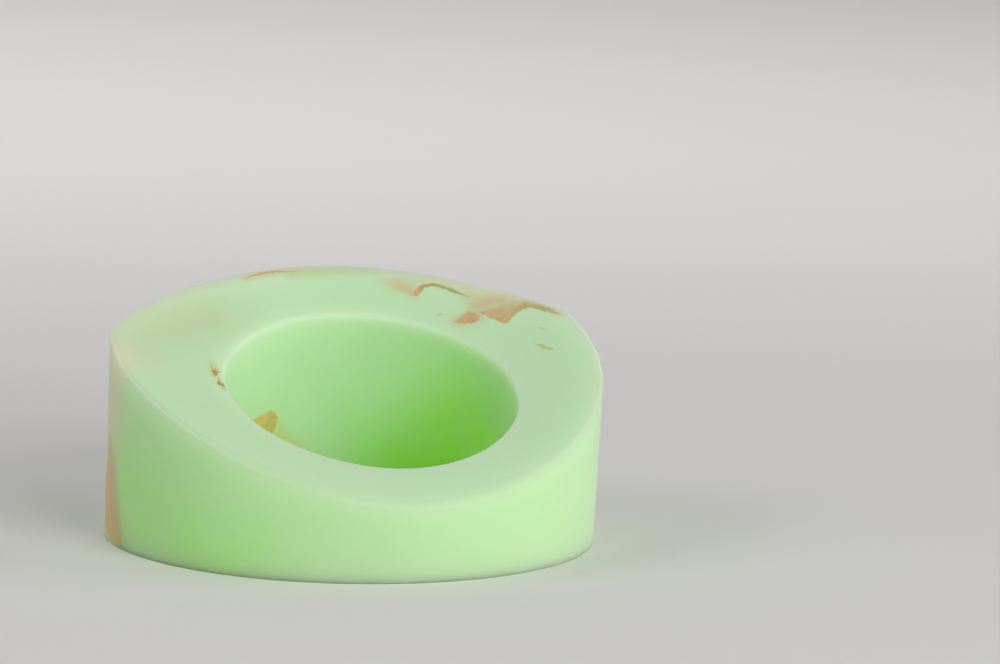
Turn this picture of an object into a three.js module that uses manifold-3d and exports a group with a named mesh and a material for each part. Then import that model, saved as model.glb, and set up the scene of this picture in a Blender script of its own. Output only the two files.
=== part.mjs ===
// A finger ring cast in one piece from milky mint-green resin, with torn scraps of copper and brass
// leaf lying in its skin. The band is narrow at the palm and wide at the display side: its base is flat,
// its top face rises and is dished, and two soft corners part the palm side from the display side.
//
// Two frames are used, in millimetres. In the ring's frame +Z runs along the finger hole, +Y from the
// palm to the display side and +X across the hand, with the origin where the hole's axis meets the base.
// The finished group stands on the flat base, so there the hole leans a little towards the palm.

import * as THREE from 'three';
import { mergeVertices } from 'three/addons/utils/BufferGeometryUtils.js';
import Module from 'manifold-3d';

const wasm = await Module();
wasm.setup();

// The finger hole and the walls round it.
const HOLE_RADIUS = 8.65;
const PALM_WALL = 3.98;
const DISPLAY_WALL = 3.9;

// The outline's two corners: how far each stands from the outline's middle line, how far the pair stands
// forward of the hole's axis, and how far the middle line is to one side of that axis.
const CORNER_HALF_WIDTH = 14.31;
const CORNER_FORWARD = 5.15;
const OUTLINE_SHIFT = -0.35;

// The band: its width at the hole's axis, the rise of the dished top face towards the display side,
// and the slopes of the flat base.
const BAND_AT_AXIS = 8.93;
const TOP_SLOPE = THREE.MathUtils.degToRad(10.5);
const TOP_FLARE = 0.00045; // extra rise, for each cubic millimetre of the distance along +Y
const DISH_RADIUS_ALONG = 64.5;
const DISH_RADIUS_ACROSS = 50.2;
const BASE_SLOPE_ALONG = THREE.MathUtils.degToRad(8.93);
const BASE_SLOPE_ACROSS = THREE.MathUtils.degToRad(1.29);

// The leaf, and the room round each scrap in its recess.
const LEAF_THICKNESS = 0.3;
const LEAF_GAP = 0.3;
const SIDE_SCRAP_LIFT = 0.5; // from the base up to the side wall's scrap

// How finely round shapes are cut into facets.
const ARC_SEGMENTS = 72;
const DISH_GRID = 1.5;

// Cutters reach this far past what they cut.
const PAST = 3;

// Scraps lying in the top face. Each is placed on a bearing round the hole's axis, anticlockwise from +X,
// so far in from the rim or so far out from the hole. Outlines run along X and Y from that point.
const TOP_SCRAPS = [
  {
    name: 'leaf_bent_strip',
    leaf: 'copper',
    bearing: 55,
    inFromRim: 1,
    outline: [
      [-1.6, -0.5], [-0.95, -0.55], [-0.35, 0.05], [0.45, -0.3], [1.45, -1.2],
      [1.95, -1.05], [1.3, -0.25], [0.7, 0.25], [0, 0.55], [-0.7, 0.4], [-1.5, 0.05],
    ],
  },
  {
    name: 'leaf_large_scrap',
    leaf: 'copper',
    bearing: 29.7,
    inFromRim: 1.4,
    outline: [
      [-1.9, 0.45], [-1.3, -0.5], [-0.95, -0.95], [-0.65, -0.7], [0, -0.1], [0.7, -0.1],
      [1.5, -0.75], [2.1, -1.4], [2.3, -1.15], [1.85, -0.4], [1.2, 0.2], [0.5, 0.65], [-0.7, 0.85],
    ],
  },
  {
    name: 'leaf_wedge_scrap',
    leaf: 'copper',
    bearing: 39.9,
    inFromRim: 3.3,
    outline: [[-0.8, -0.1], [-0.2, -0.45], [0.45, -0.5], [0.6, -0.1], [0.3, 0.45], [-0.2, 0.4]],
  },
  {
    name: 'leaf_olive_dash',
    leaf: 'brass',
    bearing: 11.8,
    inFromRim: 2.85,
    outline: [[-0.4, 0.5], [-0.2, 0], [0.2, -0.5], [0.5, -0.4], [0.1, 0.35], [-0.1, 0.6]],
  },
  {
    name: 'leaf_fleck_middle',
    leaf: 'brass',
    bearing: 49.2,
    outFromHole: 1.4,
    outline: [[-0.25, 0], [0, -0.25], [0.2, 0], [0, 0.25]],
  },
  {
    name: 'leaf_fleck_right',
    leaf: 'brass',
    bearing: 19.5,
    inFromRim: 2.1,
    outline: [[-0.3, 0.25], [-0.1, -0.1], [0.3, -0.3], [0.1, 0.15]],
  },
  {
    name: 'leaf_rim_strip',
    leaf: 'copper',
    bearing: 103.4,
    inFromRim: 0.15,
    outline: [[-1.9, -0.55], [-0.6, -0.3], [0.6, -0.2], [1.7, -0.15], [1.7, 0.7], [-1.9, 0.7]],
  },
  {
    name: 'leaf_shredded_fleck',
    leaf: 'copper',
    bearing: 163,
    outFromHole: 0.72,
    outline: [
      [-0.3, -0.65], [-0.1, -0.95], [0.1, -0.75], [0.2, -0.2], [0.35, 0.1], [0.15, 0.4],
      [0.1, 0.9], [-0.05, 0.95], [-0.1, 0.2],
    ],
  },
  {
    name: 'leaf_dot_fleck',
    leaf: 'copper',
    bearing: 175.4,
    outFromHole: 0.7,
    outline: [[-0.2, 0], [0, -0.2], [0.15, 0], [0.05, 0.2]],
  },
  {
    name: 'leaf_hole_edge_fleck',
    leaf: 'copper',
    bearing: 175,
    outFromHole: 0,
    outline: [[-0.15, 0.6], [-0.2, 0], [-0.12, -0.6], [0.3, -0.6], [0.3, 0.65]],
  },
];

// The two scraps that lie in upright walls. Their outlines run anticlockwise along the wall and up the
// hole's axis, from a point at this bearing, height and shift along the wall. A leaning outline follows
// the slope of the base. The side wall's scrap starts from the left corner.
const HOLE_WALL_SCRAP = {
  name: 'leaf_hole_wall_scrap',
  leaf: 'brass',
  bearing: 119,
  height: 5,
  shift: 0,
  lean: 0,
  outline: [[1.3, 0.6], [0.6, 0.75], [-0.6, 0.8], [-1, 0.35], [-1.05, -0.9], [-0.4, -1.2], [0.5, -0.4]],
};
const SIDE_WALL_SCRAP = {
  name: 'leaf_side_wall_scrap',
  leaf: 'copper',
  bearing: 180,
  height: SIDE_SCRAP_LIFT + Math.tan(BASE_SLOPE_ACROSS) * (CORNER_HALF_WIDTH - OUTLINE_SHIFT),
  shift: -CORNER_FORWARD,
  lean: BASE_SLOPE_ALONG,
  outline: [
    [0.75, 0.2], [3.15, 0], [5.25, 0.1], [5.55, 1.2], [5.4, 3], [5.05, 4.6], [3.95, 5.8],
    [2.45, 6.2], [1.05, 5.4],
  ],
};

// Materials: one function for each finish.
function resinFinish() {
  return new THREE.MeshStandardMaterial({ color: 0xa9dc9c, roughness: 0.38, metalness: 0 });
}

function leafFinish(kind) {
  const color = kind === 'copper' ? 0xbf8a62 : 0xb9a94f;
  return new THREE.MeshStandardMaterial({ color, roughness: 0.42, metalness: 0.7 });
}

// The lean that lays the flat base level: its columns are the table's axes seen from the ring's frame.
function standingUpright() {
  const up = new THREE.Vector3(Math.tan(BASE_SLOPE_ACROSS), Math.tan(BASE_SLOPE_ALONG), 1).normalize();
  const across = new THREE.Vector3(1, 0, 0).addScaledVector(up, -up.x).normalize();
  const along = new THREE.Vector3().crossVectors(up, across);
  return new THREE.Matrix4().makeBasis(across, along, up).transpose();
}

const STAND = standingUpright();

// A three.js geometry in the ring's frame as a solid that stands on the table.
function solidOf(geometry) {
  const bare = geometry.clone().applyMatrix4(STAND);
  bare.deleteAttribute('normal');
  bare.deleteAttribute('uv');
  const merged = mergeVertices(bare);
  const vertProperties = new Float32Array(merged.attributes.position.array);
  const triVerts = new Uint32Array(merged.index.array);
  return new wasm.Manifold(new wasm.Mesh({ numProp: 3, vertProperties, triVerts }));
}

function meshOf(solid, name, material) {
  const { vertProperties, triVerts } = solid.getMesh();
  const geometry = new THREE.BufferGeometry();
  geometry.setAttribute('position', new THREE.BufferAttribute(vertProperties, 3));
  geometry.setIndex(new THREE.BufferAttribute(triVerts, 1));
  geometry.computeVertexNormals();
  const mesh = new THREE.Mesh(geometry, material);
  mesh.name = name;
  return mesh;
}

// An arc through both corners and through the middle line's point at this distance along Y.
function arcThrough(middleY) {
  const rise = Math.abs(middleY - CORNER_FORWARD);
  const radius = (rise ** 2 + CORNER_HALF_WIDTH ** 2) / (2 * rise);
  const centre = new THREE.Vector2(OUTLINE_SHIFT, middleY - Math.sign(middleY) * radius);
  return { centre, radius };
}

const PALM_ARC = arcThrough(-(HOLE_RADIUS + PALM_WALL));
const DISPLAY_ARC = arcThrough(HOLE_RADIUS + DISPLAY_WALL);

// The ring's outline: the palm arc round the front and the display arc round the back.
function ringOutline() {
  const angleTo = (arc, x) => Math.atan2(CORNER_FORWARD - arc.centre.y, x);
  const shape = new THREE.Shape();
  for (const [arc, side] of [[PALM_ARC, -1], [DISPLAY_ARC, 1]]) {
    const from = angleTo(arc, side * CORNER_HALF_WIDTH);
    const to = angleTo(arc, -side * CORNER_HALF_WIDTH);
    shape.absarc(arc.centre.x, arc.centre.y, arc.radius, from, to, false);
  }
  return shape;
}

function disc(centre, radius) {
  return new THREE.Shape().absarc(centre.x, centre.y, radius, 0, 2 * Math.PI, false);
}

// How high the top face stands over a point of the ring's frame.
function dishHeight(x, y) {
  const rise = Math.tan(TOP_SLOPE) * y + TOP_FLARE * y ** 3;
  return BAND_AT_AXIS + rise + y ** 2 / (2 * DISH_RADIUS_ALONG) + x ** 2 / (2 * DISH_RADIUS_ACROSS);
}

// Every cutter is at least this wide and this tall, whatever the sizes above.
const REACH = 2 * (Math.max(PALM_ARC.radius, HOLE_RADIUS + Math.max(PALM_WALL, DISPLAY_WALL)) + PAST);
const TALLEST = dishHeight(REACH / 2, HOLE_RADIUS + DISPLAY_WALL) + PAST;

// A straight column of the given shape, through the whole height of the ring.
function column(shape) {
  const options = { depth: TALLEST + REACH / 2, bevelEnabled: false, curveSegments: ARC_SEGMENTS };
  return solidOf(new THREE.ExtrudeGeometry(shape, options).translate(0, 0, -REACH / 2));
}

// A slab that follows the dished top face, from one height above it to another.
function dishedSlab(low, high) {
  const cells = Math.ceil(REACH / DISH_GRID);
  const geometry = new THREE.BoxGeometry(REACH, REACH, 1, cells, cells, 1);
  const places = geometry.attributes.position;
  for (let i = 0; i < places.count; i += 1) {
    const offset = places.getZ(i) < 0 ? low : high;
    places.setZ(i, dishHeight(places.getX(i), places.getY(i)) + offset);
  }
  return solidOf(geometry);
}

// Everything below the table that the base rests on.
function belowBase() {
  const block = new THREE.BoxGeometry(2 * REACH, 2 * REACH, REACH).translate(0, 0, -REACH / 2);
  return solidOf(block.applyMatrix4(STAND.clone().invert()));
}

// An outline with each side moved out by a gap, and its corners where the moved sides meet.
function grownOutline(outline, gap) {
  const points = outline.map(([x, y]) => new THREE.Vector2(x, y));
  const turn = THREE.ShapeUtils.area(points) > 0 ? 1 : -1;
  const outward = points.map((point, i) => {
    const side = points[(i + 1) % points.length].clone().sub(point).normalize();
    return new THREE.Vector2(side.y, -side.x).multiplyScalar(turn);
  });
  return points.map((point, i) => {
    const before = outward[(i + points.length - 1) % points.length];
    const after = outward[i];
    const move = before.clone().add(after).multiplyScalar(gap / (1 + before.dot(after)));
    return [point.x + move.x, point.y + move.y];
  });
}

function shapeOf(outline, x, y) {
  return new THREE.Shape(outline.map((point) => new THREE.Vector2(point[0] + x, point[1] + y)));
}

// The distance from the hole's axis to the rim along a bearing: the nearer of the outline's two arcs.
function rimDistance(bearing) {
  const way = new THREE.Vector2(Math.cos(bearing), Math.sin(bearing));
  const reach = ({ centre, radius }) => {
    const along = way.dot(centre);
    return along + Math.sqrt(along ** 2 - centre.lengthSq() + radius ** 2);
  };
  return Math.min(reach(PALM_ARC), reach(DISPLAY_ARC));
}

// The column over a top scrap's outline, grown by a gap.
function topColumn(scrap, gap) {
  const bearing = THREE.MathUtils.degToRad(scrap.bearing);
  const fromRim = rimDistance(bearing) - scrap.inFromRim;
  const distance = scrap.outFromHole === undefined ? fromRim : HOLE_RADIUS + scrap.outFromHole;
  const outline = gap > 0 ? grownOutline(scrap.outline, gap) : scrap.outline;
  return column(shapeOf(outline, distance * Math.cos(bearing), distance * Math.sin(bearing)));
}

// A bar of a wall scrap's outline, grown by a gap, that runs level from the hole's axis outwards.
function wallBar(scrap, gap) {
  const outline = gap > 0 ? grownOutline(scrap.outline, gap) : scrap.outline;
  const options = { depth: REACH, bevelEnabled: false };
  const bar = new THREE.ExtrudeGeometry(shapeOf(outline, scrap.shift, 0), options);
  bar.rotateZ(scrap.lean);
  bar.rotateX(Math.PI / 2);
  bar.rotateZ(THREE.MathUtils.degToRad(scrap.bearing) + Math.PI / 2);
  return solidOf(bar.translate(0, 0, scrap.height));
}

// The plain casting, before any recess is cut: walls, hole, dished top and flat base.
function plainCasting() {
  const outline = ringOutline();
  outline.holes.push(disc(new THREE.Vector2(), HOLE_RADIUS));
  return column(outline).subtract(dishedSlab(0, REACH)).subtract(belowBase());
}

const casting = plainCasting();
const leafLayer = dishedSlab(-LEAF_THICKNESS, PAST);
const topRecess = dishedSlab(-LEAF_THICKNESS - LEAF_GAP, PAST);

// The scraps, each cut from the skin of the casting, and the recesses that hold them.
const scraps = [];
let body = casting;

for (const scrap of TOP_SCRAPS) {
  scraps.push(meshOf(
    topColumn(scrap, 0).intersect(leafLayer).intersect(casting), scrap.name, leafFinish(scrap.leaf),
  ));
  body = body.subtract(topColumn(scrap, LEAF_GAP).intersect(topRecess));
}

function addHoleWallScrap() {
  const skin = column(disc(new THREE.Vector2(), HOLE_RADIUS + LEAF_THICKNESS));
  const recess = column(disc(new THREE.Vector2(), HOLE_RADIUS + LEAF_THICKNESS + LEAF_GAP));
  const leaf = wallBar(HOLE_WALL_SCRAP, 0).intersect(skin).intersect(casting);
  scraps.push(meshOf(leaf, HOLE_WALL_SCRAP.name, leafFinish(HOLE_WALL_SCRAP.leaf)));
  body = body.subtract(wallBar(HOLE_WALL_SCRAP, LEAF_GAP).intersect(recess));
}

function addSideWallScrap() {
  const core = column(disc(PALM_ARC.centre, PALM_ARC.radius - LEAF_THICKNESS));
  const recessCore = column(disc(PALM_ARC.centre, PALM_ARC.radius - LEAF_THICKNESS - LEAF_GAP));
  const leaf = wallBar(SIDE_WALL_SCRAP, 0).subtract(core).intersect(casting);
  scraps.push(meshOf(leaf, SIDE_WALL_SCRAP.name, leafFinish(SIDE_WALL_SCRAP.leaf)));
  body = body.subtract(wallBar(SIDE_WALL_SCRAP, LEAF_GAP).subtract(recessCore));
}

addHoleWallScrap();
addSideWallScrap();

// The ring stands on its base with the middle of its box over the origin.
const ring = new THREE.Group();
ring.add(meshOf(body, 'resin_body', resinFinish()), ...scraps);
const middle = new THREE.Box3().setFromObject(ring).getCenter(new THREE.Vector3());
ring.position.set(-middle.x, -middle.y, 0);

export default ring;
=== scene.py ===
import math

import bpy
import numpy as np
from mathutils import Matrix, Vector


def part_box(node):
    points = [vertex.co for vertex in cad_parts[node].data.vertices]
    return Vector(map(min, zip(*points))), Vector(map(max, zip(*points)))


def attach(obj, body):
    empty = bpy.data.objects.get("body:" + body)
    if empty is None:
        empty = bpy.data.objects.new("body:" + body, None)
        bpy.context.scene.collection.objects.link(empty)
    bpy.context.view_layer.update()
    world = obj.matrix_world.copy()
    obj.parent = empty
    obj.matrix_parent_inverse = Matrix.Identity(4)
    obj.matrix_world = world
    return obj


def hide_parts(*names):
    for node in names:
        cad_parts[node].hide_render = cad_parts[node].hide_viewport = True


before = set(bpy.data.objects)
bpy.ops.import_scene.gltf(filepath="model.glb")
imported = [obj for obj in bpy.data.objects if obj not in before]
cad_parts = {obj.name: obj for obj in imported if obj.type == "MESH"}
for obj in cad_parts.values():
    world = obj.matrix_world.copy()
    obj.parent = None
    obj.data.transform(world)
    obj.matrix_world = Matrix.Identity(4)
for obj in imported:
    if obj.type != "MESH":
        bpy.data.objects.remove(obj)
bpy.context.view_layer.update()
scene = bpy.context.scene

# ---------------------------------------------------------------------------------------------------
# The casting: a finger ring poured in one piece from milky green resin, then sanded by hand. Two arcs
# make its outline, the base is flat, and the top face is a shallow dish that climbs from the palm side
# to the display side. Sizes are millimetres in the ring's own frame: Z runs along the finger hole from
# the base, Y from the palm to the display side, and X across the hand.
# ---------------------------------------------------------------------------------------------------
MM = 0.001
HOLE_RADIUS = 8.65
PALM_WALL = 3.98
DISPLAY_WALL = 3.9
CORNER_HALF_WIDTH = 14.31
CORNER_FORWARD = 5.15
CORNER_SOFTNESS = 0.05
OUTLINE_SHIFT = -0.35
BAND_AT_AXIS = 8.93
TOP_RISE = math.tan(math.radians(10.5))
TOP_FLARE = 0.00045
DISH_RADIUS_ALONG = 64.5
DISH_RADIUS_ACROSS = 50.2
BASE_RISE_ALONG = math.tan(math.radians(8.93))
BASE_RISE_ACROSS = math.tan(math.radians(1.29))

# The softened edges, of which the rim's is widest at the palm, and how many grid lines run round the ring
# and over each of a section's stretches.
SOFT_BASE = 0.05
SOFT_RIM = 0.15
SOFT_PALM_RIM = 0.6
SOFT_HOLE = 0.25
BEARINGS = 720
SOFT_LINES = 7
BASE_LINES = 4
WALL_LINES = 30
TOP_LINES = 42

# Hand sanding takes up to this much more off some places than off others, over about this distance. The
# last value only keeps divisions away from zero.
SANDED_AWAY = 0.035
SANDING_WAVE = 7.0
TINY = 1e-6


def arc_through(middle_y):
    """The centre and radius of the arc through both corners and a point of the outline's middle line."""
    rise = abs(middle_y - CORNER_FORWARD)
    radius = (rise**2 + CORNER_HALF_WIDTH**2) / (2 * rise)
    return np.array([OUTLINE_SHIFT, middle_y - math.copysign(radius, middle_y)]), radius


PALM_CENTRE, PALM_RADIUS = arc_through(-(HOLE_RADIUS + PALM_WALL))
DISPLAY_CENTRE, DISPLAY_RADIUS = arc_through(HOLE_RADIUS + DISPLAY_WALL)


def rim_distance(bearing):
    """The way from the hole's axis to the rim: the soft minimum of the ways out of the two arcs' discs."""
    ways = []
    for centre, radius in ((PALM_CENTRE, PALM_RADIUS), (DISPLAY_CENTRE, DISPLAY_RADIUS)):
        along = np.cos(bearing) * centre[0] + np.sin(bearing) * centre[1]
        ways.append(along + np.sqrt(along**2 - centre @ centre + radius**2))
    apart = np.abs(ways[0] - ways[1])
    return np.minimum(*ways) - CORNER_SOFTNESS * np.log1p(np.exp(-apart / CORNER_SOFTNESS))


def dish_height(x, y):
    """The top face: a plane that rises along Y, a parabola along each axis, and a cubic flare along Y."""
    rise = TOP_RISE * y + TOP_FLARE * y**3
    return BAND_AT_AXIS + rise + y**2 / (2 * DISH_RADIUS_ALONG) + x**2 / (2 * DISH_RADIUS_ACROSS)


def base_height(x, y):
    """The flat base: a plane that falls along Y and a little along X."""
    return -(BASE_RISE_ALONG * y + BASE_RISE_ACROSS * x)


def smooth_noise(points, scale, seed, waves=24):
    """Smooth noise, nearly always from -1 to 1: a sum of sine waves in random directions, squashed."""
    chance = np.random.default_rng(seed)
    ways = chance.normal(size=(waves, points.shape[-1]))
    ways *= 2 * math.pi / (scale * np.linalg.norm(ways, axis=1, keepdims=True))
    ways *= chance.uniform(0.6, 1.6, (waves, 1))
    phases = chance.uniform(0, 2 * math.pi, waves)
    return np.tanh(np.sin(points @ ways.T + phases).sum(axis=-1) * math.sqrt(2 / waves))


def standing_axes():
    """The table's axes as columns, seen from the ring's frame: up is square to the flat base."""
    up = np.array([BASE_RISE_ACROSS, BASE_RISE_ALONG, 1.0])
    up /= np.linalg.norm(up)
    across = np.array([1.0, 0.0, 0.0]) - up[0] * up
    across /= np.linalg.norm(across)
    return np.stack([across, np.cross(up, across), up], axis=1)


STANDING = standing_axes()


def ring_origin():
    """Where the hole's axis meets the base, in metres: the sharp-edged ring's box fills the CAD box."""
    bearing = np.linspace(0, 2 * math.pi, 4 * BEARINGS)
    x = rim_distance(bearing) * np.cos(bearing)
    y = rim_distance(bearing) * np.sin(bearing)
    edges = [np.stack([x, y, height(x, y)], axis=1) @ STANDING for height in (base_height, dish_height)]
    edges = np.concatenate(edges)
    low, high = (np.array(corner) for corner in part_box("resin_body"))
    origin = (low + high) / 2 - (edges.min(axis=0) + edges.max(axis=0)) / 2 * MM
    origin[2] = low[2]
    return origin


ORIGIN = ring_origin()


def placed(points):
    """Points of the ring's frame, in millimetres, as they stand on the table, in metres. On the way they
    take the unevenness of hand sanding: the walls and the top give way inwards by smooth noise, which
    dies away down the walls, so that the base stays flat."""
    outward = points * [1, 1, 0]
    outward /= np.linalg.norm(outward, axis=-1, keepdims=True)
    over_base = points[..., 2] - base_height(points[..., 0], points[..., 1])
    loss = SANDED_AWAY * np.clip(over_base / BAND_AT_AXIS, 0, 1)[..., None]
    walls = (1 + smooth_noise(points, SANDING_WAVE, seed=3)[..., None]) / 2
    top = (1 + smooth_noise(points, SANDING_WAVE, seed=4)[..., None]) / 2
    sanded = points - loss * (walls * outward + top * [0, 0, 1])
    return sanded @ STANDING * MM + ORIGIN


def rim_softness(bearing):
    """The size of the rim's softened edge, which grows with the square of the sine towards the palm."""
    return SOFT_RIM + (SOFT_PALM_RIM - SOFT_RIM) * np.clip(-np.sin(bearing), 0, 1) ** 2


def casting_points():
    """The casting as bearing times section. A section runs out along the base, up the rim's wall, in over
    the top and down the hole. A softened edge is a quarter ellipse from one face's point a to the next
    face's point b: corner + (a - corner)(1 - sin t) + (b - corner)(1 - cos t), for t from 0 to a quarter
    turn."""
    bearing = np.linspace(0, 2 * math.pi, BEARINGS, endpoint=False)[:, None]
    rim = rim_distance(bearing)
    hole = np.full_like(rim, HOLE_RADIUS)
    up = np.array([0, 0, 1])

    def edge(distance, height):
        x, y = distance * np.cos(bearing), distance * np.sin(bearing)
        return np.stack([x, y, height(x, y)], axis=-1)

    def softened(a, corner, b):
        t = np.linspace(0, math.pi / 2, SOFT_LINES)[None, :, None]
        return corner + (a - corner) * (1 - np.sin(t)) + (b - corner) * (1 - np.cos(t))

    def stretch(start, end, lines, height=None):
        share = np.linspace(0, 1, lines + 2)[None, 1:-1, None]
        points = start + (end - start) * share
        if height is not None:
            points[..., 2] = height(points[..., 0], points[..., 1])
        return points

    base_inner, base_outer = edge(hole + SOFT_BASE, base_height), edge(rim - SOFT_BASE, base_height)
    soft_rim = rim_softness(bearing)
    top_outer, top_inner = edge(rim - soft_rim, dish_height), edge(hole + SOFT_HOLE, dish_height)
    rim_base, rim_top = edge(rim, base_height), edge(rim, dish_height)
    hole_base, hole_top = edge(hole, base_height), edge(hole, dish_height)
    rim_low, rim_high = rim_base + SOFT_BASE * up, rim_top - soft_rim[..., None] * up
    hole_low, hole_high = hole_base + SOFT_BASE * up, hole_top - SOFT_HOLE * up
    return np.concatenate([
        stretch(base_inner, base_outer, BASE_LINES, base_height),
        softened(base_outer, rim_base, rim_low),
        stretch(rim_low, rim_high, WALL_LINES),
        softened(rim_high, rim_top, top_outer),
        stretch(top_outer, top_inner, TOP_LINES, dish_height),
        softened(top_inner, hole_top, hole_high),
        stretch(hole_high, hole_low, WALL_LINES),
        softened(hole_low, hole_base, base_inner),
    ], axis=1)


def on_top(x, y, lift=0.0):
    """A point over the top face, raised by lift. Near the rim and the hole it drops by the softened edge's
    roll, r(1 - sqrt(1 - (1 - d / r) squared)), where d is the way in from the edge of radius r."""
    bearing, way_out = np.arctan2(y, x), np.hypot(x, y)
    drop = 0.0
    for way_in, soft in ((rim_distance(bearing) - way_out, SOFT_RIM), (way_out - HOLE_RADIUS, SOFT_HOLE)):
        short = 1 - np.clip(way_in / soft, 0, 1)
        drop = drop + soft * (1 - np.sqrt(1 - short**2))
    return np.stack([x, y, dish_height(x, y) - drop + lift], axis=-1)


def on_hole(bearing, height, lift=0.0):
    """A point of the hole's wall on a bearing in radians, lifted off it towards the hole's axis."""
    distance = HOLE_RADIUS - lift
    return np.stack([distance * np.cos(bearing), distance * np.sin(bearing), height], axis=-1)


def on_palm_wall(turn, height, lift=0.0):
    """A point of the palm side's wall at an angle in radians round the palm arc, lifted outwards."""
    distance = PALM_RADIUS + lift
    x, y = PALM_CENTRE[0] + distance * np.cos(turn), PALM_CENTRE[1] + distance * np.sin(turn)
    return np.stack([x, y, height], axis=-1)


# A line on a face by its places: X and Y on the top, and degrees and height on the two walls.
def top_line(*places):
    x, y = np.array(places, float).T
    return on_top(x, y)


def hole_line(*places):
    degrees, height = np.array(places, float).T
    return on_hole(np.radians(degrees), height)


def palm_line(*places):
    degrees, height = np.array(places, float).T
    return on_palm_wall(np.radians(degrees), height)


# Painted shade: the deeper green on the hole's wall and low on the left of the palm wall stands for the
# green light that comes through the resin into its shaded parts. Leaf that lies deeper down shows through
# as a haze. Each such tint runs along a line of points, fades with the way from it, and has a colour.
# Those of the hole's wall colour only that wall.
PAINTED_SHADE_GREEN = (0.40, 0.92, 0.08)
PAINTED_SHADE_WALL_GREEN = (0.40, 0.88, 0.22)
HOLE_STAINS_AND_SHADE = [
    # Painted shade: the green that light through the resin gives this shaded stretch of the hole's wall.
    (hole_line((50, 1.5), (37, 3.2), (28, 4.5)), 4.6, 0.88, PAINTED_SHADE_GREEN),
]
OUTER_STAINS_AND_SHADE = [
    # Painted shade: the same deeper green, low on the left of the palm wall, which lies in shade.
    (palm_line((188, 4.0), (198, 3.5), (224, 2.0)), 4.0, 0.65, PAINTED_SHADE_WALL_GREEN),
]
STAIN_AND_SHADE_UNEVEN = 0.1
STAIN_AND_SHADE_WAVE = 4.0


def way_to_line(points, line):
    """The distance from each point to a line of straight runs: the least of those to its runs."""
    nearest = np.full(len(points), np.inf)
    for start, end in zip(line[:-1], line[1:]):
        run = end - start
        share = np.clip((points - start) @ run / (run @ run), 0, 1)
        nearest = np.minimum(nearest, np.linalg.norm(points - start - share[:, None] * run, axis=1))
    return nearest


def stain_and_shade_colours(points, stains_and_shade, seed):
    """For each point the mixed colour of the stains and painted shade and, as alpha, their cover: strength
    times exp(-(distance / width) squared), uneven by smooth noise, one laid over the other."""
    colour, cover = np.zeros((len(points), 3)), np.zeros(len(points))
    for number, (line, width, strength, stain_and_shade) in enumerate(stains_and_shade):
        uneven = 1 + STAIN_AND_SHADE_UNEVEN * smooth_noise(points, STAIN_AND_SHADE_WAVE, seed=seed + number)
        share = np.clip(strength * uneven * np.exp(-(way_to_line(points, line) / width) ** 2), 0, 1)
        total = share + cover * (1 - share)
        mixed = share[:, None] * stain_and_shade + (cover * (1 - share))[:, None] * colour
        colour = mixed / np.maximum(total, TINY)[:, None]
        cover = total
    return np.column_stack([colour, cover])


RESIN_CLEAR = (0.50, 0.81, 0.36, 1)
RESIN_MILKY = (0.53, 0.83, 0.40, 1)
# A paler colour: the frost of the sanded skin, and painted sheen where it covers the top face and the band
# of the walls under it.
RESIN_FROST_AND_SHEEN = (0.56, 0.79, 0.49, 1)
RESIN_DEPTH = 3.0
FROST_AND_SHEEN_ON_WALLS = 0.55
FROST_AND_SHEEN_RAMP = 0.8


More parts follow.
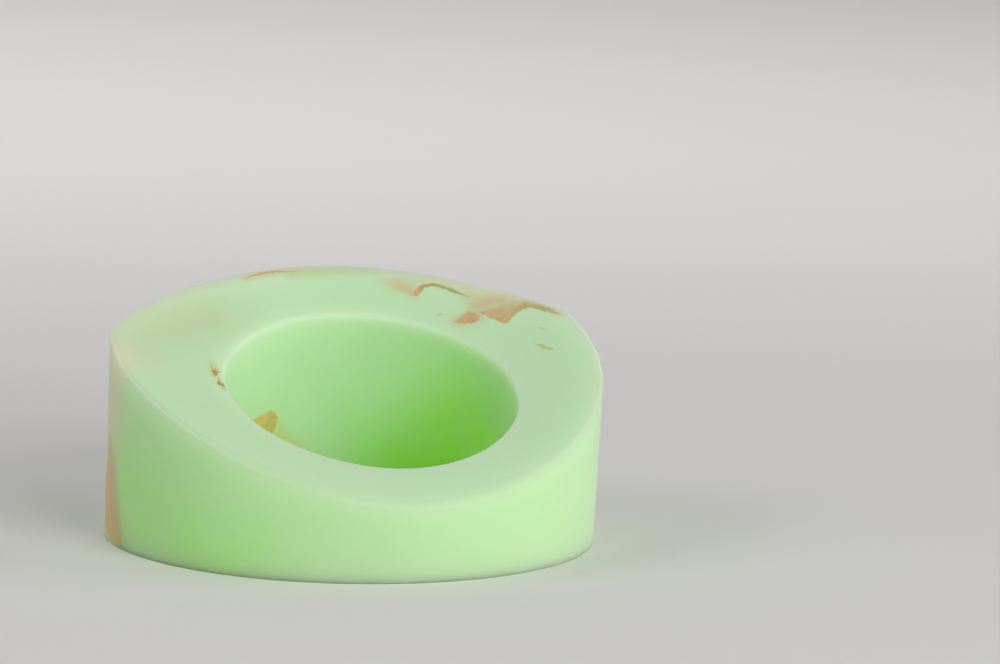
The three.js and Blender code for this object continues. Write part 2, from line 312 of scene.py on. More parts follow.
def resin_material():
    """Milky resin with a satin, hand-sanded skin. Light goes in and wanders before it comes out greener.
    The colour drifts in slow clouds, fine sanding marks break the gloss, and stains tint it. A pale frost
    of the sanding lies on the walls. The top face and a band of the walls under it are painted paler
    still, a painted sheen for the backdrop's reflection on the top and for light through the edge. The
    stain attribute also carries painted shade, a deeper green."""
    material = bpy.data.materials.new("milky_green_resin")
    material.use_nodes = True
    nodes, links = material.node_tree.nodes, material.node_tree.links
    shader = nodes["Principled BSDF"]
    shader.inputs["Subsurface Weight"].default_value = 1.0
    shader.inputs["Subsurface Scale"].default_value = RESIN_DEPTH * MM
    shader.inputs["Subsurface Radius"].default_value = (1.0, 1.0, 1.0)
    shader.inputs["IOR"].default_value = 1.45
    shader.inputs["Coat Weight"].default_value = 0.5
    shader.inputs["Coat Roughness"].default_value = 0.7
    shader.inputs["Coat IOR"].default_value = 1.5
    where = nodes.new("ShaderNodeTexCoord")

    clouds = nodes.new("ShaderNodeTexNoise")
    clouds.inputs["Scale"].default_value = 190.0
    clouds.inputs["Detail"].default_value = 3.0
    clouds.inputs["Distortion"].default_value = 0.8
    links.new(where.outputs["Object"], clouds.inputs["Vector"])
    tones = nodes.new("ShaderNodeValToRGB")
    tones.color_ramp.elements[0].position = 0.36
    tones.color_ramp.elements[0].color = RESIN_CLEAR
    tones.color_ramp.elements[1].position = 0.64
    tones.color_ramp.elements[1].color = RESIN_MILKY
    links.new(clouds.outputs["Fac"], tones.inputs["Fac"])
    # The frost, with the painted sheen of the top face and of the band of the walls under it.
    sanded = nodes.new("ShaderNodeAttribute")
    sanded.attribute_name = "sanded"
    frost_and_sheen_mix = nodes.new("ShaderNodeMix")
    frost_and_sheen_mix.data_type = "RGBA"
    frost_and_sheen_mix.inputs["B"].default_value = RESIN_FROST_AND_SHEEN
    links.new(sanded.outputs["Fac"], frost_and_sheen_mix.inputs["Factor"])
    links.new(tones.outputs["Color"], frost_and_sheen_mix.inputs["A"])

    # The stains, with the painted shade of the hole, the palm wall and the rim's edge, from the casting.
    stain_and_shade = nodes.new("ShaderNodeAttribute")
    stain_and_shade.attribute_name = "leaf_stain_and_painted_shade"
    veil = nodes.new("ShaderNodeMix")
    veil.data_type = "RGBA"
    links.new(stain_and_shade.outputs["Alpha"], veil.inputs["Factor"])
    links.new(frost_and_sheen_mix.outputs["Result"], veil.inputs["A"])
    links.new(stain_and_shade.outputs["Color"], veil.inputs["B"])
    links.new(veil.outputs["Result"], shader.inputs["Base Color"])

    sanding = nodes.new("ShaderNodeTexNoise")
    sanding.inputs["Scale"].default_value = 1500.0
    sanding.inputs["Detail"].default_value = 5.0
    links.new(where.outputs["Object"], sanding.inputs["Vector"])
    satin = nodes.new("ShaderNodeMapRange")
    satin.inputs["To Min"].default_value = 0.5
    satin.inputs["To Max"].default_value = 0.66
    links.new(sanding.outputs["Fac"], satin.inputs["Value"])
    links.new(satin.outputs["Result"], shader.inputs["Roughness"])
    relief = nodes.new("ShaderNodeBump")
    relief.inputs["Strength"].default_value = 0.15
    relief.inputs["Distance"].default_value = 0.03 * MM
    links.new(sanding.outputs["Fac"], relief.inputs["Height"])
    links.new(relief.outputs["Normal"], shader.inputs["Normal"])
    return material


def grid_object(name, points, material, ring=True):
    """An object of one closed mesh over a grid of points [u, v, 3] in the ring's frame. The grid closes on
    itself along v. Along u it closes on itself too, or its first and last rows each shrink to a pole."""
    rows, columns, _ = points.shape
    index = np.arange(rows * columns).reshape(rows, columns)
    here = index if ring else index[:-1]
    ahead = np.roll(index, -1, axis=0)[: len(here)]
    quads = np.stack([here, ahead, np.roll(ahead, -1, axis=1), np.roll(here, -1, axis=1)], axis=-1)
    mesh = bpy.data.meshes.new(name)
    mesh.from_pydata(placed(points).reshape(-1, 3), [], quads.reshape(-1, 4))
    mesh.polygons.foreach_set("use_smooth", np.ones(len(mesh.polygons), bool))
    mesh.materials.append(material)
    piece = bpy.data.objects.new(name, mesh)
    scene.collection.objects.link(piece)
    return piece


casting_grid = casting_points()
casting = grid_object("resin_casting", casting_grid, resin_material())
casting_vertices = casting_grid.reshape(-1, 3)
under_top = dish_height(casting_vertices[:, 0], casting_vertices[:, 1]) - casting_vertices[:, 2]
# Painted sheen: full frost on the top face and in a band down the walls under it, for the reflection on the
# top and light through the edge. The walls below keep only part, the sanding's own frost.
frost_and_sheen = FROST_AND_SHEEN_ON_WALLS + (1 - FROST_AND_SHEEN_ON_WALLS) * np.exp(-np.clip(under_top, 0, None) / FROST_AND_SHEEN_RAMP)
sanded = casting.data.attributes.new("sanded", "FLOAT", "POINT")
sanded.data.foreach_set("value", frost_and_sheen.astype(np.float32))
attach(casting, "root")
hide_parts("resin_body")

# ---------------------------------------------------------------------------------------------------
# The torn scraps of metal leaf. The maker stirs crumpled copper and brass leaf into the resin, and
# sanding uncovers the scraps that lie in the skin. Each is a thin, creased sheet whose torn edges and
# low places sink into the resin. Copper comes first, in the top face.
# ---------------------------------------------------------------------------------------------------
# A sheet's thickness at its middle, how far that stands out of the skin, how far the creases lift it and
# its edges sink, how wide the slope along its edges is, how deep and long the tears are, and how long
# the creases are.
LEAF_BODY = 0.06
LEAF_PROUD = 0.010
LEAF_CREASE = 0.006
LEAF_SINK = 0.012
LEAF_SLOPE = 0.1
TORN_DEPTH = 0.05
TORN_WAVE = 0.5
LONG_CREASE = 0.9
SHORT_CREASE = 0.35


def torn_edge(points, count, seed):
    """An edge from tip to tip: points at an even pace along its straight runs, rounded by a running mean,
    then shifted by smooth noise that dies away at both tips."""
    points = np.array(points, float)
    runs = np.concatenate([[0], np.cumsum(np.linalg.norm(np.diff(points, axis=0), axis=1))])
    pace = np.linspace(0, runs[-1], count)
    edge = np.stack([np.interp(pace, runs, points[:, axis]) for axis in (0, 1)], axis=1)
    for _ in range(count // 20):
        edge[1:-1] = (edge[:-2] + 2 * edge[1:-1] + edge[2:]) / 4
    fade = np.sin(np.linspace(0, math.pi, count)) ** 0.5
    for axis in (0, 1):
        edge[:, axis] += TORN_DEPTH * fade * smooth_noise(edge, TORN_WAVE, seed=seed + axis)
    return edge


def eased(share):
    """The smooth step 3t squared - 2t cubed of a share held between 0 and 1."""
    share = np.clip(share, 0, 1)
    return share * share * (3 - 2 * share)


def leaf_sheet(near, far, skin, seed, fades, depths=(0, 0), greens=(0, 0), stretch=(1, 1), lines=(90, 18)):
    """A creased sheet between two torn edges, on a skin that maps two places and a lift to a point.
    u runs from tip to tip and v from the near edge to the far one and back underneath, with its lines
    closer together towards the edges: v = (1 - cos t) / 2. The upper side is lifted by creases of smooth
    noise, and falls under the skin towards its edges. With the points come two values each. The first is
    how milky the resin over it is: all milky at the edges, less over the two fades' widths further in,
    and then by the depths, which run from the first tip to the last. The second is how far the leaf has
    tarnished green, which runs between the tips as well."""
    along, across = lines
    near, far = torn_edge(near, along, seed), torn_edge(far, along, seed + 2)
    crossing = (1 - np.cos(np.linspace(0, math.pi, across))) / 2
    v = np.concatenate([crossing, crossing[-2:0:-1]])
    flat = near[:, None] * (1 - v[None, :, None]) + far[:, None] * v[None, :, None]
    width = np.maximum(np.linalg.norm(far - near, axis=1)[:, None], TINY)
    way_in = np.minimum(v, 1 - v)[None] * width
    inner = eased(way_in / np.minimum(LEAF_SLOPE, width / 4))
    drawn = flat / stretch
    creases = smooth_noise(drawn, LONG_CREASE, seed + 4) + 0.5 * smooth_noise(drawn, SHORT_CREASE, seed + 5)
    upper = -LEAF_SINK + (LEAF_SINK + LEAF_PROUD + LEAF_CREASE * creases / 1.5) * inner
    under = np.zeros(len(v), bool)
    under[across:] = True
    lift = np.where(under[None], upper - LEAF_BODY * np.sqrt(inner), upper)
    bare = 1 - np.linspace(*depths, along)[:, None]
    for from_edge, fade in ((v, fades[0]), (1 - v, fades[1])):
        bare = bare * eased(from_edge[None] * width / np.minimum(fade, width / 2))
    tarnish = np.linspace(*greens, along)[:, None] * np.ones_like(bare)
    return skin(flat[..., 0], flat[..., 1], lift), 1 - bare, tarnish


def leaf_material(name, bright, dull, tarnished, buried, pleats=1.0):
    """Metal leaf: crinkled, worn from its bright colour to a dull one, tarnished green in places, and
    milky where resin covers it. Below 1, pleats draws the crinkles out up the ring."""
    material = bpy.data.materials.new(name)
    material.use_nodes = True
    nodes, links = material.node_tree.nodes, material.node_tree.links
    shader = nodes["Principled BSDF"]
    shader.inputs["Metallic"].default_value = 0.1
    where = nodes.new("ShaderNodeTexCoord")

    crinkles = nodes.new("ShaderNodeTexNoise")
    crinkles.inputs["Scale"].default_value = 1800.0
    crinkles.inputs["Detail"].default_value = 4.0
    crinkles.inputs["Distortion"].default_value = 0.6
    drawn = nodes.new("ShaderNodeMapping")
    drawn.inputs["Scale"].default_value = (1, 1, pleats)
    links.new(where.outputs["Object"], drawn.inputs["Vector"])
    links.new(drawn.outputs["Vector"], crinkles.inputs["Vector"])
    wear = nodes.new("ShaderNodeValToRGB")
    wear.color_ramp.elements[0].position = 0.30
    wear.color_ramp.elements[0].color = (*dull, 1)
    wear.color_ramp.elements[1].position = 0.66
    wear.color_ramp.elements[1].color = (*bright, 1)
    links.new(crinkles.outputs["Fac"], wear.inputs["Fac"])

    green = nodes.new("ShaderNodeAttribute")
    green.attribute_name = "tarnish"
    patina = nodes.new("ShaderNodeMix")
    patina.data_type = "RGBA"
    patina.inputs["B"].default_value = (*tarnished, 1)
    links.new(green.outputs["Fac"], patina.inputs["Factor"])
    links.new(wear.outputs["Color"], patina.inputs["A"])

    film = nodes.new("ShaderNodeTexNoise")
    film.inputs["Scale"].default_value = 700.0
    film.inputs["Detail"].default_value = 3.0
    links.new(where.outputs["Object"], film.inputs["Vector"])
    patches = nodes.new("ShaderNodeMapRange")
    patches.inputs["From Min"].default_value = 0.4
    patches.inputs["From Max"].default_value = 0.75
    patches.inputs["To Max"].default_value = 0.15
    links.new(film.outputs["Fac"], patches.inputs["Value"])
    milk = nodes.new("ShaderNodeAttribute")
    milk.attribute_name = "milk_over_leaf"
    cover = nodes.new("ShaderNodeMath")
    cover.operation = "ADD"
    cover.use_clamp = True
    links.new(patches.outputs["Result"], cover.inputs[0])
    links.new(milk.outputs["Fac"], cover.inputs[1])
    veil = nodes.new("ShaderNodeMix")
    veil.data_type = "RGBA"
    veil.inputs["B"].default_value = (*buried, 1)
    links.new(cover.outputs["Value"], veil.inputs["Factor"])
    links.new(patina.outputs["Result"], veil.inputs["A"])
    links.new(veil.outputs["Result"], shader.inputs["Base Color"])

    gloss = nodes.new("ShaderNodeMapRange")
    gloss.inputs["To Min"].default_value = 0.35
    gloss.inputs["To Max"].default_value = 0.6
    links.new(crinkles.outputs["Fac"], gloss.inputs["Value"])
    links.new(gloss.outputs["Result"], shader.inputs["Roughness"])
    relief = nodes.new("ShaderNodeBump")
    relief.inputs["Strength"].default_value = 0.35
    relief.inputs["Distance"].default_value = 0.03 * MM
    links.new(crinkles.outputs["Fac"], relief.inputs["Height"])
    links.new(relief.outputs["Normal"], shader.inputs["Normal"])
    return material


def add_leaf(node, sheets, material):
    """One scrap of leaf as an object of one or more sheets, in place of its CAD node. The sheets are far
    thicker than real leaf. Their shade would draw a dark line in the resin round them, so they throw
    none, and the resin gets no light from them."""
    pieces = []
    for points, milk, tarnish in sheets:
        piece = grid_object(node.replace("leaf_", "foil_"), points, material, ring=False)
        for name, values in (("milk_over_leaf", milk), ("tarnish", tarnish)):
            attribute = piece.data.attributes.new(name, "FLOAT", "POINT")
            attribute.data.foreach_set("value", values.astype(np.float32).ravel())
        pieces.append(piece)
    if len(pieces) > 1:
        with bpy.context.temp_override(active_object=pieces[0], selected_editable_objects=pieces):
            bpy.ops.object.join()
    pieces[0].visible_shadow = False
    pieces[0].visible_diffuse = False
    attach(pieces[0], "root")
    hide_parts(node)


def add_top_leaf(scraps, material, seed):
    """The scraps of one kind of leaf in the top face, each with a seed ten further on than the last."""
    for number, (node, sheets) in enumerate(scraps.items()):
        drawn = [leaf_sheet(near, far, on_top, seed + 10 * number, *look) for near, far, *look in sheets]
        add_leaf(node, drawn, material)


COPPER_BRIGHT = (0.80, 0.46, 0.23)
COPPER_DULL = (0.56, 0.30, 0.11)
COPPER_GREEN = (0.36, 0.46, 0.12)
COPPER_BURIED = (0.57, 0.64, 0.36)
copper = leaf_material("copper_leaf_in_resin", COPPER_BRIGHT, COPPER_DULL, COPPER_GREEN, COPPER_BURIED)

COPPER_STAIN = (0.66, 0.40, 0.21)
TAN_STAIN = (0.58, 0.56, 0.30)
OLIVE_STAIN = (0.42, 0.52, 0.14)
OUTER_STAINS_AND_SHADE += [
    (top_line((4.7, 10.5), (5.2, 10.1), (5.5, 9.8)), 0.45, 0.6, COPPER_STAIN),
    (top_line((4.3, 10.9), (5.2, 10.6), (6.2, 10.9), (7.6, 10.3), (9.0, 9.2)), 0.75, 0.5, TAN_STAIN),
    (top_line((9.0, 7.7), (10.0, 7.9), (11.4, 7.6), (12.7, 6.6), (13.5, 5.6)), 0.6, 0.7, COPPER_STAIN),
    (top_line((8.9, 8.7), (10.3, 8.5), (11.6, 7.9), (12.8, 6.9)), 0.7, 0.5, TAN_STAIN),
    (top_line((7.5, 6.7), (8.1, 6.8), (8.6, 6.8)), 0.6, 0.5, COPPER_STAIN),
    (top_line((-4.7, 11.6), (-2.6, 12.1), (-1.2, 12.2)), 0.3, 0.5, COPPER_STAIN),
    (top_line((-1.6, 12.1), (0.95, 12.1), (3.5, 11.9)), 0.5, 0.5, OLIVE_STAIN),
    (top_line((-13.4, 4.9), (-11.5, 6.6), (-8.0, 8.0)), 2.6, 0.33, TAN_STAIN),
]

# Each scrap is one or more sheets: a near edge, a far edge, how soon the milk clears inwards from each,
# how deep the two tips lie, and how green they are.
COPPER_TOP_SCRAPS = {
    "leaf_bent_strip": [(
        [(5.42, 9.47), (5.78, 9.4), (6.4, 9.98), (7.0, 9.91), (8.1, 9.0), (8.8, 8.54)],
        [(5.42, 9.47), (5.58, 9.94), (6.2, 10.35), (6.9, 10.4), (8.1, 9.6), (8.8, 8.54)],
        (0.15, 0.2), (-0.15, 0.15), (-0.4, 1.8),
    )],
    "leaf_large_scrap": [(
        [(8.84, 7.13), (9.69, 5.97), (10.21, 5.48), (11.1, 6.3), (11.8, 6.49), (12.55, 5.78), (13.5, 4.9)],
        [(8.84, 7.13), (9.7, 7.42), (10.7, 7.55), (11.9, 7.25), (12.6, 6.6), (13.2, 5.9), (13.5, 4.9)],
        (0.12, 0.9), (0.1, 0.2), (0.0, 0.7),
    )],
    "leaf_wedge_scrap": [(
        [(7.2, 6.7), (7.61, 6.39), (8.3, 6.17), (8.67, 6.34), (8.87, 6.76)],
        [(7.2, 6.7), (7.6, 7.07), (7.96, 7.33), (8.36, 7.58), (8.71, 7.29), (8.87, 6.76)],
        (0.12, 0.4), (0.1, 0.1), (0.0, 0.0),
    )],
    "leaf_rim_strip": [(
        [(-4.75, 11.5), (-4.3, 11.6), (-3.3, 11.85), (-2.6, 11.95), (-1.25, 12.15)],
        [(-4.75, 11.5), (-4.45, 11.75), (-3.5, 12.1), (-2.6, 12.25), (-1.25, 12.15)],
        (0.2, 0.1), (0.0, 0.1), (0.0, 0.9),
    )],
}

add_top_leaf(COPPER_TOP_SCRAPS, copper, seed=100)

# ---------------------------------------------------------------------------------------------------
# Three flecks of copper leaf at the hole's left edge, shredded into thin standing fibres of a deep orange
# brown, which lie right at the sanded face.
# ---------------------------------------------------------------------------------------------------
FLECK_BRIGHT = (0.66, 0.37, 0.09)
FLECK_DULL = (0.34, 0.16, 0.03)
FLECK_BURIED = (0.62, 0.60, 0.22)
FLECK_STAIN = (0.60, 0.54, 0.16)
OUTER_STAINS_AND_SHADE += [
    (top_line((-8.85, 3.3), (-9.05, 2.0)), 0.3, 0.55, FLECK_STAIN),
    (top_line((-8.9, 1.5), (-8.95, 0.5)), 0.25, 0.4, FLECK_STAIN),
]
fleck_copper = leaf_material("shredded_copper_leaf", FLECK_BRIGHT, FLECK_DULL, COPPER_GREEN, FLECK_BURIED)

COPPER_FLECKS = {
    "leaf_shredded_fleck": [
        ([(-8.93, 3.5), (-9.07, 2.7), (-9.18, 1.85)], [(-8.93, 3.5), (-8.98, 2.7), (-9.18, 1.85)],
         (0.02, 0.02), (0.5, 0.0), (0.1, 0.2)),
        ([(-8.96, 3.05), (-9.12, 2.4), (-9.15, 1.8)], [(-8.96, 3.05), (-8.96, 2.4), (-9.15, 1.8)],
         (0.02, 0.02), (0.1, -0.2), (0.0, 0.2)),
        ([(-8.8, 3.05), (-8.99, 2.4), (-9.11, 1.78)], [(-8.8, 3.05), (-8.82, 2.4), (-9.11, 1.78)],
         (0.02, 0.02), (0.1, -0.2), (0.0, 0.2)),
        ([(-8.69, 2.85), (-8.89, 2.35), (-9.06, 1.8)], [(-8.69, 2.85), (-8.73, 2.3), (-9.06, 1.8)],
         (0.02, 0.02), (0.2, -0.1), (0.0, 0.2)),
        ([(-8.53, 2.78), (-8.73, 2.4), (-8.93, 2.0)], [(-8.53, 2.78), (-8.64, 2.4), (-8.93, 2.0)],
         (0.02, 0.02), (0.5, 0.2), (0.1, 0.2)),
    ],
    "leaf_dot_fleck": [
        ([(-9.16, 1.17), (-9.14, 0.8), (-8.98, 0.84), (-8.83, 1.15)],
         [(-9.16, 1.17), (-8.97, 1.38), (-8.83, 1.15)], (0.06, 0.06), (0.0, 0.0), (0.1, 0.1)),
    ],
    "leaf_hole_edge_fleck": [
        ([(-8.92, 1.75), (-9.05, 1.3), (-9.0, 0.7), (-8.9, 0.15)],
         [(-8.92, 1.75), (-8.88, 1.2), (-8.85, 0.6), (-8.9, 0.15)], (0.02, 0.02), (0.0, 0.1), (0.0, 0.3)),
        ([(-8.8, 1.65), (-8.88, 1.1), (-8.82, 0.35)],
         [(-8.8, 1.65), (-8.74, 1.1), (-8.82, 0.35)], (0.02, 0.02), (0.0, 0.1), (0.0, 0.3)),
    ],
}

add_top_leaf(COPPER_FLECKS, fleck_copper, seed=500)

# ---------------------------------------------------------------------------------------------------
# Brass leaf in the top face: a short dash and two faint flecks, thinner and yellower than the copper,
# and all but covered by the milky resin.
# ---------------------------------------------------------------------------------------------------
BRASS_BRIGHT = (0.84, 0.53, 0.13)
BRASS_DULL = (0.54, 0.42, 0.08)
BRASS_GREEN = (0.46, 0.52, 0.10)
BRASS_BURIED = (0.53, 0.74, 0.35)
brass = leaf_material("brass_leaf_in_resin", BRASS_BRIGHT, BRASS_DULL, BRASS_GREEN, BRASS_BURIED)

BRASS_TOP_SCRAPS = {
    "leaf_olive_dash": [(
        [(11.1, 3.0), (11.3, 2.4), (11.7, 1.85), (12.0, 1.9)],
        [(11.1, 3.0), (11.6, 2.75), (11.9, 2.25), (12.0, 1.9)],
        (0.2, 0.2), (0.5, 0.2), (0.5, 0.9),
    )],
    "leaf_fleck_middle": [(
        [(6.35, 7.6), (6.55, 7.45), (6.75, 7.6)],
        [(6.35, 7.6), (6.55, 7.8), (6.75, 7.6)],
        (0.15, 0.15), (0.5, 0.5), (0.5, 0.5),
    )],
    "leaf_fleck_right": [(
        [(11.75, 4.5), (11.95, 4.15), (12.35, 3.95)],
        [(11.75, 4.5), (12.15, 4.4), (12.35, 3.95)],
        (0.2, 0.2), (0.75, 0.75), (0.8, 0.8),
    )],
}

add_top_leaf(BRASS_TOP_SCRAPS, brass, seed=200)

# ---------------------------------------------------------------------------------------------------
# The brass scrap in the hole's wall, a bright yellow corner of leaf that lies against the finger, with a
# thin yellow tail that sinks away along the wall.
# ---------------------------------------------------------------------------------------------------
YELLOW_STAIN = (0.68, 0.66, 0.20)
HOLE_STAINS_AND_SHADE += [
    (hole_line((113.5, 4.7), (111.5, 4.2), (108.5, 3.6), (103, 3.1)), 0.55, 0.55, YELLOW_STAIN),
]
HOLE_SCRAP_NEAR = [(129.5, 5.6), (127, 5.2), (123.9, 4.6), (117.5, 3.9), (113.8, 4.3), (112.3, 5.2)]
HOLE_SCRAP_FAR = [
    (129.5, 5.6), (126, 5.65), (122.5, 5.72), (118.5, 5.85), (115.6, 5.92), (113.6, 5.7), (112.3, 5.2),
]


def on_hole_place(along, height, lift):
    """A place on the hole's wall: millimetres along it from the bearing 0, and the height up the hole."""
    return on_hole(along / HOLE_RADIUS, height, lift)


def unrolled(places, radius):
    """Places on a round wall, by degrees and height, as millimetres along the wall and height."""
    return [(math.radians(degrees) * radius, height) for degrees, height in places]


hole_sheet = leaf_sheet(
    unrolled(HOLE_SCRAP_NEAR, HOLE_RADIUS), unrolled(HOLE_SCRAP_FAR, HOLE_RADIUS), on_hole_place, seed=300,
    fades=(0.2, 0.35), depths=(0.2, 0.0), greens=(0.1, 0.1),
)
add_leaf("leaf_hole_wall_scrap", [hole_sheet], brass)

# ---------------------------------------------------------------------------------------------------
# The copper scrap in the side wall, the largest: a pleated sheet that stands upright just past the left
# corner, with long creases up the band, and a haze of deeper leaf round it. Towards the corner a paler
# grey is painted over it, a painted sheen of the backdrop along that edge.
# ---------------------------------------------------------------------------------------------------
SIDE_SCRAP_NEAR = [(188.5, 0.8), (185, 0.24), (180, 0.22), (175, 0.24), (172, 0.7), (170.5, 3.0)]
SIDE_SCRAP_FAR = [(188.5, 0.8), (186, 2.6), (183, 4.2), (179, 5.8), (174.5, 6.6), (170.5, 3.0)]
SIDE_COPPER_BRIGHT = (0.98, 0.55, 0.27)
SIDE_COPPER_DULL = (0.72, 0.38, 0.17)
SIDE_COPPER_BURIED = (0.56, 0.62, 0.34)
SIDE_PLEATS = 0.08
GREY_HAZE_AND_SHEEN = (0.74, 0.67, 0.46)
OUTER_STAINS_AND_SHADE += [
    (palm_line((186, 0.6), (183, 2.5), (178, 5.5)), 1.1, 0.6, OLIVE_STAIN),
    # Haze of deeper leaf, with painted sheen along the left corner.
    (palm_line((171, 1.0), (173, 4.0), (176, 7.0), (178, 10.5)), 2.0, 0.8, GREY_HAZE_AND_SHEEN),
]


def on_palm_place(along, height, lift):
    """A place on the palm side's wall: millimetres along it from the arc's angle 0, and the height."""
    return on_palm_wall(along / PALM_RADIUS, height, lift)


pleated_copper = leaf_material(
    "pleated_copper_leaf_in_resin",
    SIDE_COPPER_BRIGHT, SIDE_COPPER_DULL, COPPER_GREEN, SIDE_COPPER_BURIED, SIDE_PLEATS,
)
side_sheet = leaf_sheet(
    unrolled(SIDE_SCRAP_NEAR, PALM_RADIUS), unrolled(SIDE_SCRAP_FAR, PALM_RADIUS), on_palm_place, seed=400,
    fades=(0.08, 1.8), depths=(0.1, 0.35), greens=(0.5, -0.2), stretch=(1, 7), lines=(110, 60),
)
add_leaf("leaf_side_wall_scrap", [side_sheet], pleated_copper)

# ---------------------------------------------------------------------------------------------------
# The stains and the painted shade, now that each kind of leaf has added its own, go into the casting
# point by point. The rim's top edge takes one more: a painted shade, a deeper green that dims the bright
# line that light draws along its softened edge.
# ---------------------------------------------------------------------------------------------------
PAINTED_EDGE_SHADE = (0.38, 0.58, 0.30)
EDGE_SHADE_COVER = 0.6
EDGE_SHADE_WIDTH = 0.5
way_out = np.hypot(casting_vertices[:, 0], casting_vertices[:, 1])
stain_and_shade_values = np.where(
    (way_out < HOLE_RADIUS + SOFT_HOLE / 2)[:, None],
    stain_and_shade_colours(casting_vertices, HOLE_STAINS_AND_SHADE, seed=60),
    stain_and_shade_colours(casting_vertices, OUTER_STAINS_AND_SHADE, seed=20),
)
casting_bearing = np.arctan2(casting_vertices[:, 1], casting_vertices[:, 0])
from_edge = np.hypot(rim_distance(casting_bearing) - way_out, under_top)
# Painted shade: a deeper green along the rim's top edge, which dims its bright line, where stains leave
# room.
edge_shade = EDGE_SHADE_COVER * np.exp(-(from_edge / EDGE_SHADE_WIDTH) ** 2) * (1 - stain_and_shade_values[:, 3])
cover = stain_and_shade_values[:, 3] + edge_shade
stain_and_shade_values[:, :3] *= (stain_and_shade_values[:, 3] / np.maximum(cover, TINY))[:, None]
stain_and_shade_values[:, :3] += (edge_shade / np.maximum(cover, TINY))[:, None] * PAINTED_EDGE_SHADE
stain_and_shade_values[:, 3] = cover
stains_and_shade = casting.data.attributes.new("leaf_stain_and_painted_shade", "FLOAT_COLOR", "POINT")
stains_and_shade.data.foreach_set("color", stain_and_shade_values.astype(np.float32).ravel())

# ---------------------------------------------------------------------------------------------------
# The table and the backdrop: one sheet of pale grey card, flat under the ring and curved up behind it.
# ---------------------------------------------------------------------------------------------------
SWEEP_HALF_WIDTH = 1.2
SWEEP_FRONT = -0.6
SWEEP_BEND_AT = 0.5
SWEEP_BEND = 0.35
SWEEP_TOP = 0.9
LEVEL_LINES = 24
BEND_LINES = 48
CARD_GREY = (0.80, 0.79, 0.775, 1)


def sweep_points():
    """The card's profile, a level run, a quarter circle and an upright run, carried along its width."""
    turn = np.linspace(0, math.pi / 2, BEND_LINES)
    level = np.stack([np.linspace(SWEEP_FRONT, SWEEP_BEND_AT, LEVEL_LINES), np.zeros(LEVEL_LINES)], axis=1)
    bend = np.stack([SWEEP_BEND_AT + SWEEP_BEND * np.sin(turn), SWEEP_BEND * (1 - np.cos(turn))], axis=1)
    upright = np.array([[SWEEP_BEND_AT + SWEEP_BEND, SWEEP_TOP]])
    profile = np.concatenate([level, bend[1:], upright])
    return np.stack([np.insert(profile, 0, x, axis=1) for x in (-SWEEP_HALF_WIDTH, SWEEP_HALF_WIDTH)])


def card_material():
    """Matt card with a faint tooth."""
    material = bpy.data.materials.new("pale_card")
    material.use_nodes = True
    nodes, links = material.node_tree.nodes, material.node_tree.links
    shader = nodes["Principled BSDF"]
    shader.inputs["Base Color"].default_value = CARD_GREY
    shader.inputs["Roughness"].default_value = 0.9
    shader.inputs["Specular IOR Level"].default_value = 0.0
    where = nodes.new("ShaderNodeTexCoord")
    tooth = nodes.new("ShaderNodeTexNoise")
    tooth.inputs["Scale"].default_value = 900.0
    tooth.inputs["Detail"].default_value = 4.0
    links.new(where.outputs["Object"], tooth.inputs["Vector"])
    relief = nodes.new("ShaderNodeBump")
    relief.inputs["Strength"].default_value = 0.2
    relief.inputs["Distance"].default_value = 0.1 * MM
    links.new(tooth.outputs["Fac"], relief.inputs["Height"])
    links.new(relief.outputs["Normal"], shader.inputs["Normal"])
    return material


# The camera looks at the ring from this many degrees round the table, and the card and lamps turn with it.
CAMERA_BEARING = -19.12


def sweep_object():
    """The card, turned so that its bend is square to the camera."""
    points = sweep_points()
    turn = math.radians(CAMERA_BEARING)
    turned = points @ np.array(Matrix.Rotation(-turn, 3, "Z"))
    rows, columns, _ = points.shape
    index = np.arange(rows * columns).reshape(rows, columns)
    corners = (index[:-1, :-1], index[1:, :-1], index[1:, 1:], index[:-1, 1:])
    mesh = bpy.data.meshes.new("card_sweep")
    mesh.from_pydata(turned.reshape(-1, 3), [], np.stack(corners, axis=-1).reshape(-1, 4))
    mesh.polygons.foreach_set("use_smooth", np.ones(len(mesh.polygons), bool))
    mesh.materials.append(card_material())
    sweep = bpy.data.objects.new("card_sweep", mesh)
    scene.collection.objects.link(sweep)
    return sweep


sweep_object()

# ---------------------------------------------------------------------------------------------------
# The light: a low softbox in front on the right, a second further round to the right, one high behind on
# the left, a weak one in front on the left, a lamp for the backdrop, and a little light from all round.
# ---------------------------------------------------------------------------------------------------
LIGHT_DISTANCE = 0.6
BACKDROP_LAMP_POWER = 0.65
BACKDROP_LAMP_SIZE = 0.4
BACKDROP_LAMP_RISE = 22
BACKDROP_LAMP_HEIGHT = 0.42
BACKDROP_LAMP_BEHIND = 0.2
BACKDROP_LAMP_TO_LEFT = 0.09
AIR_COLOUR = (1.0, 0.995, 0.985, 1)
AIR_STRENGTH = 0.205


def facing(turn, rise):
    """Unit vectors right, up and back for something that looks at the ring from a bearing and a height:
    turn is the angle round the table to the right of the front, and rise the angle above the table."""
    turn, rise = math.radians(turn), math.radians(rise)
    back = np.array([math.sin(turn) * math.cos(rise), -math.cos(turn) * math.cos(rise), math.sin(rise)])
    right = np.array([math.cos(turn), math.sin(turn), 0])
    return right, np.cross(back, right), back


def stand_at(thing, right, up, back, place):
    axes = np.stack([right, up, back], axis=1)
    rows = [[*row, spot] for row, spot in zip(axes, place)]
    thing.matrix_world = Matrix([*rows, [0, 0, 0, 1]])


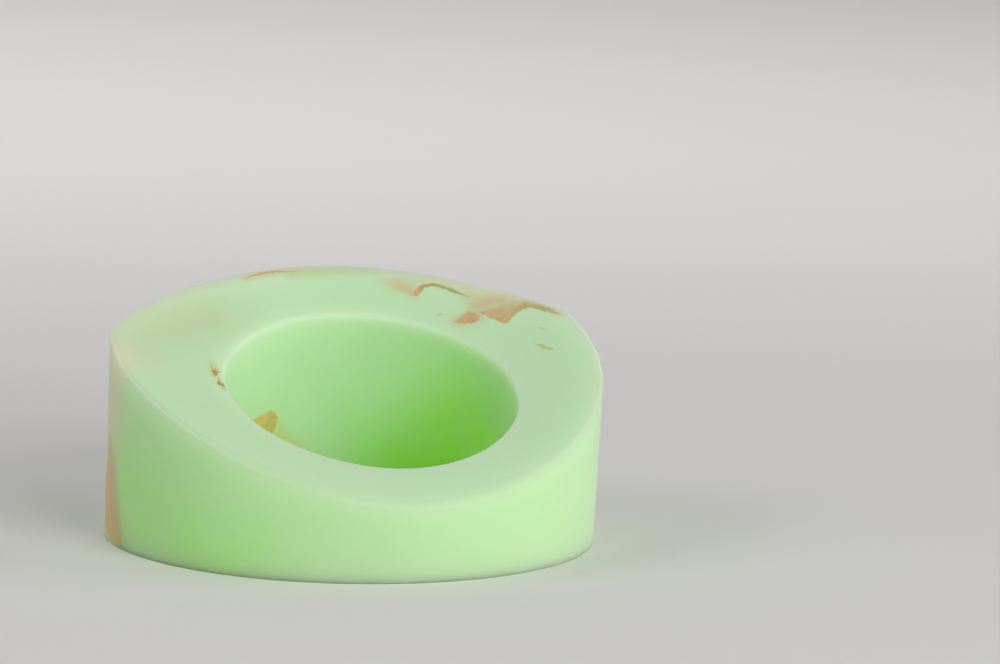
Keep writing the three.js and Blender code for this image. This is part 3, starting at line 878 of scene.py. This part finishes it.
def add_softbox(name, turn, rise, power, size):
    """A square lamp that faces the ring, with its turn counted from the camera's bearing."""
    lamp = bpy.data.lights.new(name, "AREA")
    lamp.shape = "SQUARE"
    lamp.size = size
    lamp.energy = power
    box = bpy.data.objects.new(name, lamp)
    scene.collection.objects.link(box)
    right, up, back = facing(CAMERA_BEARING + turn, rise)
    stand_at(box, right, up, back, back * LIGHT_DISTANCE)


def add_backdrop_light():
    """A lamp above and behind the ring that faces away from the camera and lights only the backdrop."""
    lamp = bpy.data.lights.new("backdrop_softbox", "AREA")
    lamp.shape = "SQUARE"
    lamp.size = BACKDROP_LAMP_SIZE
    lamp.energy = BACKDROP_LAMP_POWER
    box = bpy.data.objects.new("backdrop_softbox", lamp)
    scene.collection.objects.link(box)
    right, up, back = facing(CAMERA_BEARING, BACKDROP_LAMP_RISE)
    over_ring = np.array([0, 0, BACKDROP_LAMP_HEIGHT])
    shift = -BACKDROP_LAMP_BEHIND * back - BACKDROP_LAMP_TO_LEFT * right
    stand_at(box, right, up, back, over_ring + shift)


add_softbox("key_softbox", 36, 20, 2.15, 0.35)
add_softbox("side_softbox", 90, 20, 0.85, 0.35)
add_softbox("back_softbox", -140, 50, 0.74, 0.7)
add_softbox("left_softbox", -60, 35, 0.76, 0.35)
add_backdrop_light()

scene.world = bpy.data.worlds.new("studio_air")
scene.world.use_nodes = True
air = scene.world.node_tree.nodes["Background"]
air.inputs["Color"].default_value = AIR_COLOUR
air.inputs["Strength"].default_value = AIR_STRENGTH
scene.view_settings.view_transform = "Standard"

# ---------------------------------------------------------------------------------------------------
# The camera: a long lens, low over the table, turned to the ring's left front and rolled a little.
# ---------------------------------------------------------------------------------------------------
CAMERA_RISE = 8.54
CAMERA_ROLL = 1.54
CAMERA_WAY = 268.03
AIM_RIGHT = 8.087
AIM_UP = 12.377
LENS_LENGTH = 162
SENSOR_WIDTH = 36


def add_camera():
    """The camera, its way back and its two shifts sideways and up in millimetres."""
    level, over, back = facing(CAMERA_BEARING, CAMERA_RISE)
    roll = math.radians(CAMERA_ROLL)
    right = math.cos(roll) * level + math.sin(roll) * over
    up = math.cos(roll) * over - math.sin(roll) * level
    lens = bpy.data.cameras.new("camera")
    lens.lens = LENS_LENGTH
    lens.sensor_width = SENSOR_WIDTH
    camera = bpy.data.objects.new("camera", lens)
    scene.collection.objects.link(camera)
    stand_at(camera, right, up, back, ORIGIN + MM * (AIM_RIGHT * right + AIM_UP * up + CAMERA_WAY * back))
    scene.camera = camera


add_camera()
